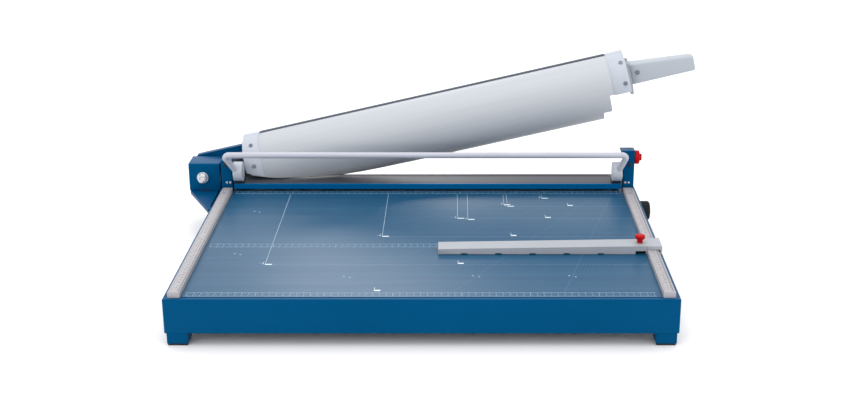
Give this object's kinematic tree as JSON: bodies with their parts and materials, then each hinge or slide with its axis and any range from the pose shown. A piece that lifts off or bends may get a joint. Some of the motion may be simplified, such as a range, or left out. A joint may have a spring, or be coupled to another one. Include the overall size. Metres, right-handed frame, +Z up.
{
  "type": "guillotine paper cutter",
  "caption": "Bench guillotine paper cutter: folded blue table, raised knife arm with curved turning guard, lever press bar, sliding back stop and scale rails.",
  "frame": {"origin": "on the floor at the centre of the rectangle of the four mounting studs' holes in the feet", "axes": "+X to the operator's right along the cutting line, +Y from the operator to the back, +Z up"},
  "size_m": [0.9104, 0.6285, 0.3145],
  "materials": {
    "blue_paint": "powder coat, satin",
    "printed_table": "printed and lacquered sheet",
    "rail_alloy": "anodised",
    "guard_alloy": "powder coat, light grey",
    "bar_alloy": "anodised grey",
    "light_moulding": "moulded, light grey",
    "handle_moulding": "moulded, light grey",
    "tube_coat": "powder coat, light grey",
    "blade_steel": "ground",
    "bright_steel": "zinc plated",
    "dark_steel": "blackened",
    "bronze": "sintered bronze",
    "black_rubber": "matt",
    "black_plastic": "satin",
    "red_plastic": "satin gloss"
  },
  "bodies": {
    "table": {"deck_plate": "blue_paint", "front_skirt": "blue_paint", "left_skirt": "blue_paint", "right_skirt": "blue_paint", "rear_beam": "blue_paint", "cross_ribs": "blue_paint", "legs": "blue_paint", "rubber_feet": "black_rubber", "table_panel": "printed_table", "left_scale_rail": "rail_alloy", "right_scale_rail": "rail_alloy", "rail_screws": "bright_steel", "left_tower": "blue_paint", "right_tower": "blue_paint", "tower_screws": "dark_steel", "lower_blade": "blade_steel", "lower_blade_screws": "dark_steel", "pivot_housing": "blue_paint", "housing_bolts": "bright_steel", "pivot_bolt": "bright_steel", "pivot_spacer": "bright_steel", "spring_washers": "dark_steel", "pivot_nut": "bright_steel", "bar_guide_pins": "bright_steel", "lift_springs": "bright_steel", "gauge_brackets": "blue_paint"},
    "knife_arm": {"arm_beam": "blue_paint", "pivot_bush": "bronze", "knife": "blade_steel", "knife_screws": "dark_steel", "left_guard_carrier": "dark_steel", "right_guard_carrier": "dark_steel", "handle_collar": "handle_moulding", "handle": "handle_moulding", "handle_screw": "bright_steel"},
    "guard": {"guard_shell": "guard_alloy", "guard_edge_rail": "rail_alloy", "left_end_cap": "light_moulding", "right_end_cap": "light_moulding", "cap_screws": "bright_steel"},
    "press_bar_unit": {"press_bar": "bar_alloy", "bar_edge_strip": "black_plastic", "wear_pads": "black_plastic"},
    "clamp_lever": {"left_cam_disc": "light_moulding", "right_cam_disc": "light_moulding", "clamp_tube": "tube_coat", "cam_axles": "bright_steel"},
    "back_stop_unit": {"back_stop": "light_moulding", "stop_guide": "black_plastic"},
    "stop_clamp": {"stop_screw": "bright_steel", "stop_knob": "red_plastic"},
    "tower_lock": {"lock_knob": "red_plastic", "lock_pin": "bright_steel"},
    "strip_gauge": {"gauge_fence": "rail_alloy", "gauge_racks": "bright_steel"},
    "gauge_drive": {"gauge_shaft": "bright_steel", "gauge_pinions": "black_plastic", "gauge_knob": "black_plastic"}
  },
  "joints": [
    {"name": "arm_pivot", "type": "hinge", "parent": "table", "child": "knife_arm", "pos_m": [-0.406, 0.2814, 0.0955], "axis": [0, -1, 0], "range_deg": [-13, 0]},
    {"name": "guard_turn", "type": "hinge", "parent": "knife_arm", "child": "guard", "pos_m": [-0.40251, 0.2974, 0.0804], "axis": [0.9744, 0, 0.225], "range_deg": [-88.1, 0]},
    {"name": "clamp_lever_turn", "type": "hinge", "parent": "table", "child": "clamp_lever", "pos_m": [0, 0.2274, 0.1024], "axis": [1, 0, 0], "range_deg": [0, 50]},
    {"name": "press_bar_travel", "type": "slide", "parent": "table", "child": "press_bar_unit", "axis": [0, 0, 1], "range_m": [-0.0043, 0], "deforming": ["lift_springs"]},
    {"name": "back_stop_slide", "type": "slide", "parent": "table", "child": "back_stop_unit", "axis": [0, 1, 0], "range_m": [-0.16, 0.21]},
    {"name": "stop_knob_turn", "type": "hinge", "parent": "back_stop_unit", "child": "stop_clamp", "pos_m": [0.34, -0.0791, 0.09], "axis": [0, 0, 1], "range_deg": [0, 270]},
    {"name": "tower_lock_turn", "type": "hinge", "parent": "table", "child": "tower_lock", "pos_m": [0.36, 0.2274, 0.136], "axis": [1, 0, 0], "range_deg": [0, 90]},
    {"name": "strip_gauge_slide", "type": "slide", "parent": "table", "child": "strip_gauge", "axis": [0, 1, 0], "range_m": [0, 0.035]},
    {"name": "gauge_drive_turn", "type": "hinge", "parent": "table", "child": "gauge_drive", "pos_m": [0, 0.2264, 0.035], "axis": [1, 0, 0], "range_deg": [-223, 0]}
  ],
  "couplings": [
    {"joint": "guard_turn", "follows": "arm_pivot", "ratio": 6.7692},
    {"joint": "press_bar_travel", "follows": "clamp_lever_turn", "m_per_rad": -0.0049},
    {"joint": "gauge_drive_turn", "follows": "strip_gauge_slide", "rad_per_m": -111.11}
  ]
}
